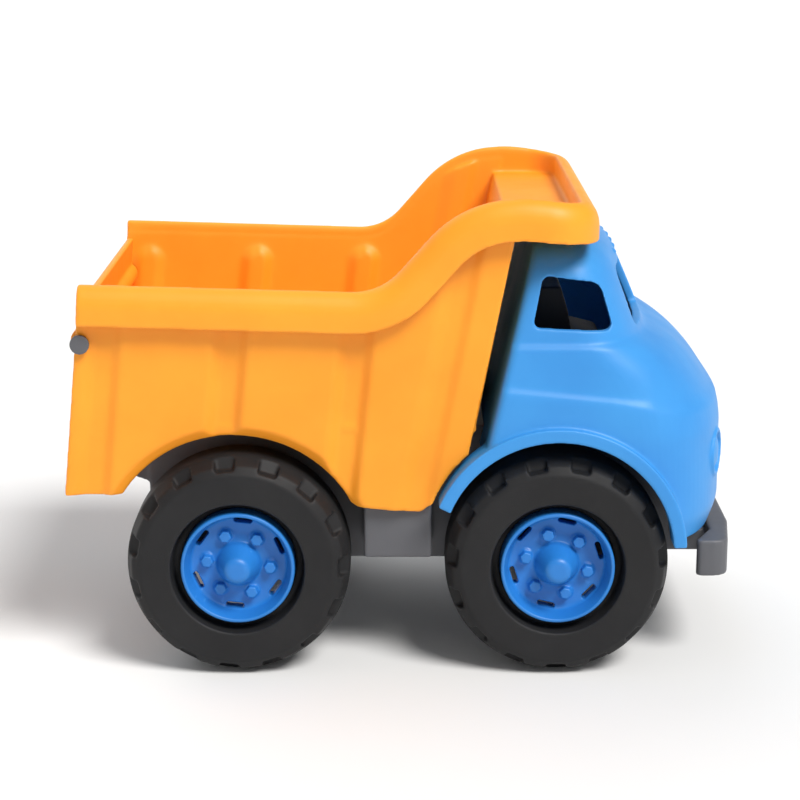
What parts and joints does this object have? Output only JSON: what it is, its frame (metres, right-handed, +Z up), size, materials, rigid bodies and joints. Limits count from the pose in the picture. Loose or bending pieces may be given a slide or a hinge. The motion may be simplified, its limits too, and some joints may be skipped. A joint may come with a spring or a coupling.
{
  "type": "toy dump truck",
  "caption": "Moulded toy dump truck with a tipping bed, swinging tailgate, rounded cab with open windows and rolling wheels.",
  "frame": {"origin": "middle of the overall length and width, on the ground under the wheels", "axes": "+X forward, towards the cab; +Y to the truck's left; +Z up"},
  "size_m": [0.267, 0.1712, 0.1906],
  "materials": {
    "orange_plastic": "satin moulded",
    "blue_plastic": "satin moulded",
    "charcoal_plastic": "fine matt texture",
    "grey_plastic": "satin moulded",
    "screw_steel": "zinc plated"
  },
  "bodies": {
    "chassis": {"chassis": "grey_plastic", "cab": "blue_plastic", "cab_seat": "charcoal_plastic", "cab_screw_1": "screw_steel", "cab_screw_2": "screw_steel", "cab_screw_3": "screw_steel", "cab_screw_4": "screw_steel", "bed_hinge_pin_left": "grey_plastic", "bed_hinge_pin_right": "grey_plastic"},
    "bed": {"bed": "orange_plastic", "tailgate_pin_left": "grey_plastic", "tailgate_pin_right": "grey_plastic"},
    "tailgate": {"tailgate": "orange_plastic"},
    "front_wheels": {"front_axle": "grey_plastic", "hub_front_left": "blue_plastic", "hub_front_right": "blue_plastic", "tyre_front_left": "charcoal_plastic", "tyre_front_right": "charcoal_plastic"},
    "rear_wheels": {"rear_axle": "grey_plastic", "hub_rear_left": "blue_plastic", "hub_rear_right": "blue_plastic", "tyre_rear_left": "charcoal_plastic", "tyre_rear_right": "charcoal_plastic"}
  },
  "joints": [
    {"name": "bed_tilt", "type": "hinge", "parent": "chassis", "child": "bed", "pos_m": [-0.118, 0, 0.08], "axis": [0, -1, 0], "range_deg": [0, 50]},
    {"name": "tailgate_swing", "type": "hinge", "parent": "bed", "child": "tailgate", "pos_m": [-0.12481, 0, 0.134], "axis": [0, 1, 0], "range_deg": [0, 80]},
    {"name": "front_axle_spin", "type": "hinge", "parent": "chassis", "child": "front_wheels", "pos_m": [0.0605, 0, 0.04426], "axis": [0, 1, 0], "continuous": true},
    {"name": "rear_axle_spin", "type": "hinge", "parent": "chassis", "child": "rear_wheels", "pos_m": [-0.0655, 0, 0.04426], "axis": [0, 1, 0], "continuous": true}
  ]
}
